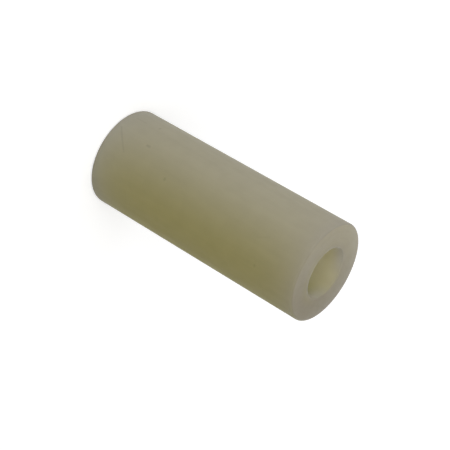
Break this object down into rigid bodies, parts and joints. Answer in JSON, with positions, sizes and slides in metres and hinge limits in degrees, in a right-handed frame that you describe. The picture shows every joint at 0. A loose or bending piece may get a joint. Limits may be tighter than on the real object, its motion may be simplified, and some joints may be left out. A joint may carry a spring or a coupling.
{
  "type": "spacer ring",
  "caption": "Plain round spacer sleeve of translucent natural plastic, with a straight through bore, square ends and softly rounded rims.",
  "frame": {"origin": "centre of the lower end face, on the bore's axis", "axes": "+Z along the bore, from the lower end face to the upper one"},
  "size_m": [0.02, 0.02, 0.05],
  "materials": {
    "natural_nylon": "translucent cream plastic with a waxy satin turned surface"
  },
  "bodies": {
    "root": {"spacer_ring": "natural_nylon"}
  },
  "joints": []
}
